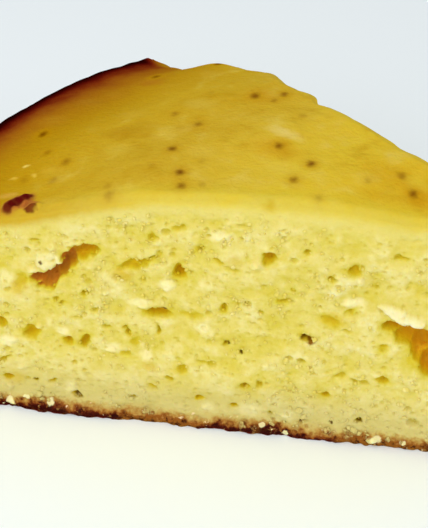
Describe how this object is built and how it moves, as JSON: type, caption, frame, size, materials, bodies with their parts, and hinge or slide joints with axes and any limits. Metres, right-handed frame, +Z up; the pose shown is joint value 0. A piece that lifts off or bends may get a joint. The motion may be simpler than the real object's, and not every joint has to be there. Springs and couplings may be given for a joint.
{
  "type": "yogurt cake slice",
  "caption": "Wedge of a domed round yogurt cake with a pale open crumb on both cuts, a golden skin, a dark baked rim and a thin brown base crust.",
  "frame": {"origin": "middle of the slice's plan box, on the surface that it stands on", "axes": "+X along the near cut from the baked rim to the tip, +Y from the near cut towards the far cut, +Z up"},
  "size_m": [0.1144, 0.0854, 0.0529],
  "materials": {
    "sponge": "soft moist yellow crumb with open pores, satin golden skin on top, dark brown baked rim and thin brown base crust"
  },
  "bodies": {
    "root": {"cake_slice": "sponge"}
  },
  "joints": []
}
